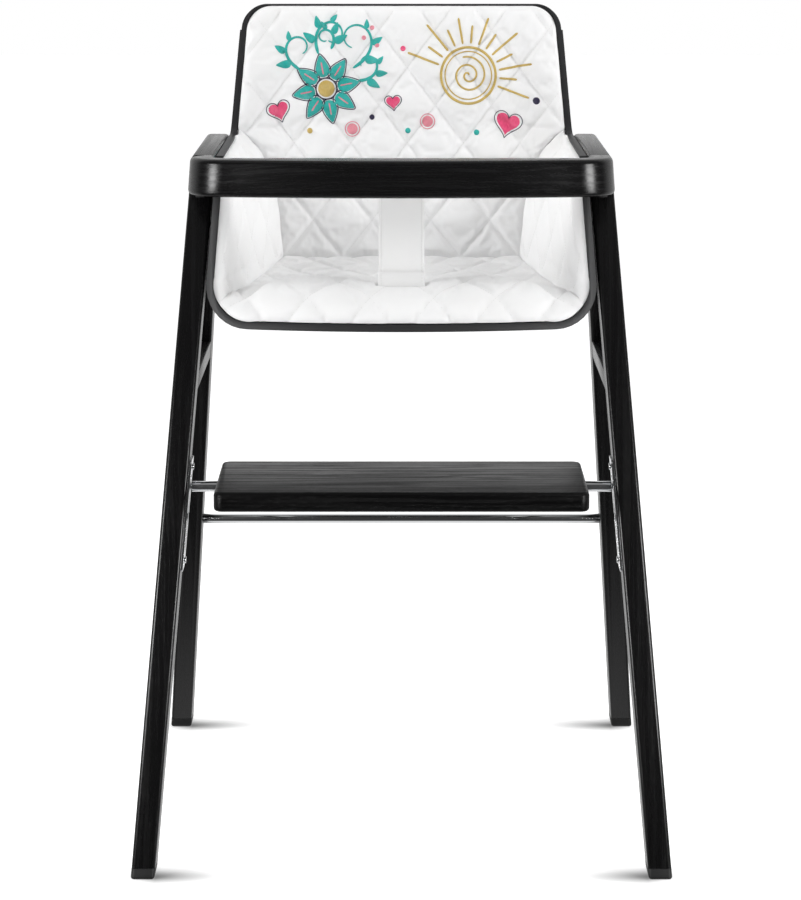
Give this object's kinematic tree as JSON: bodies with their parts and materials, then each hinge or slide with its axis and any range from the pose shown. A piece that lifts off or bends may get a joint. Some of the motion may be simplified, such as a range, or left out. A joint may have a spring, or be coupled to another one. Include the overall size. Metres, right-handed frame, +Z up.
{
  "type": "baby high chair",
  "caption": "High chair with leaning black wooden legs, a padded white tub seat in a dark shell, a lift-off bumper bar, a crotch strap and a height-adjustable footrest.",
  "frame": {"origin": "on the floor, midway between the four feet", "axes": "+Z up; the sitter faces -Y, so +X is the sitter's left"},
  "size_m": [0.5996, 0.6312, 0.9325],
  "materials": {
    "black_wood": "black stained open-grain wood under satin lacquer",
    "dowel_wood": "plain beech, unfinished",
    "shell_plastic": "dark moulded shell, matt",
    "black_plastic": "black moulded plastic, matt",
    "white_liner": "white coated fabric, quilted, fine leather grain",
    "strap_webbing": "white folded strap with stitched edges",
    "chrome": "polished",
    "steel": "zinc plated"
  },
  "bodies": {
    "chair": {"left_front_leg": "black_wood", "left_front_foot_cap": "black_plastic", "left_front_leg_dowel": "dowel_wood", "left_front_rail_dowel": "dowel_wood", "left_front_seat_bolt": "steel", "left_rear_leg": "black_wood", "left_rear_foot_cap": "black_plastic", "left_rear_leg_dowel": "dowel_wood", "left_rear_rail_dowel": "dowel_wood", "left_rear_seat_bolt": "steel", "left_side_rail": "black_wood", "left_armrest": "black_wood", "left_side_pad": "white_liner", "left_strap_snap": "steel", "left_guide_plate": "chrome", "left_guide_plate_lower_screw": "chrome", "left_guide_plate_upper_screw": "chrome", "right_front_leg": "black_wood", "right_front_foot_cap": "black_plastic", "right_front_leg_dowel": "dowel_wood", "right_front_rail_dowel": "dowel_wood", "right_front_seat_bolt": "steel", "right_rear_leg": "black_wood", "right_rear_foot_cap": "black_plastic", "right_rear_leg_dowel": "dowel_wood", "right_rear_rail_dowel": "dowel_wood", "right_rear_seat_bolt": "steel", "right_side_rail": "black_wood", "right_armrest": "black_wood", "right_side_pad": "white_liner", "right_strap_snap": "steel", "right_guide_plate": "chrome", "right_guide_plate_lower_screw": "chrome", "right_guide_plate_upper_screw": "chrome", "seat_shell": "shell_plastic", "seat_pad": "white_liner", "backrest_pad": "white_liner", "crotch_strap": "strap_webbing", "strap_anchor_rod": "steel", "rear_rod": "chrome"},
    "bumper_bar": {"bumper_bar": "black_wood", "left_bar_pin": "steel", "right_bar_pin": "steel"},
    "left_release_button": {"left_bar_release_button": "black_plastic"},
    "right_release_button": {"right_bar_release_button": "black_plastic"},
    "footrest": {"footrest_board": "black_wood", "footrest_rod": "chrome", "left_footrest_pin": "steel", "right_footrest_pin": "steel", "left_footrest_set_screw": "steel", "right_footrest_set_screw": "steel"}
  },
  "joints": [
    {"name": "bumper_bar_slide", "type": "slide", "parent": "chair", "child": "bumper_bar", "axis": [0, -1, 0], "range_m": [0, 0.065]},
    {"name": "left_button_press", "type": "slide", "parent": "bumper_bar", "child": "left_release_button", "axis": [0, 0, 1], "range_m": [0, 0.003], "stiffness_N_per_m": 300},
    {"name": "right_button_press", "type": "slide", "parent": "bumper_bar", "child": "right_release_button", "axis": [0, 0, 1], "range_m": [0, 0.003], "stiffness_N_per_m": 300},
    {"name": "footrest_height", "type": "slide", "parent": "chair", "child": "footrest", "axis": [0, 0.2873, 0.9578], "range_m": [-0.0678, 0.0093]}
  ]
}
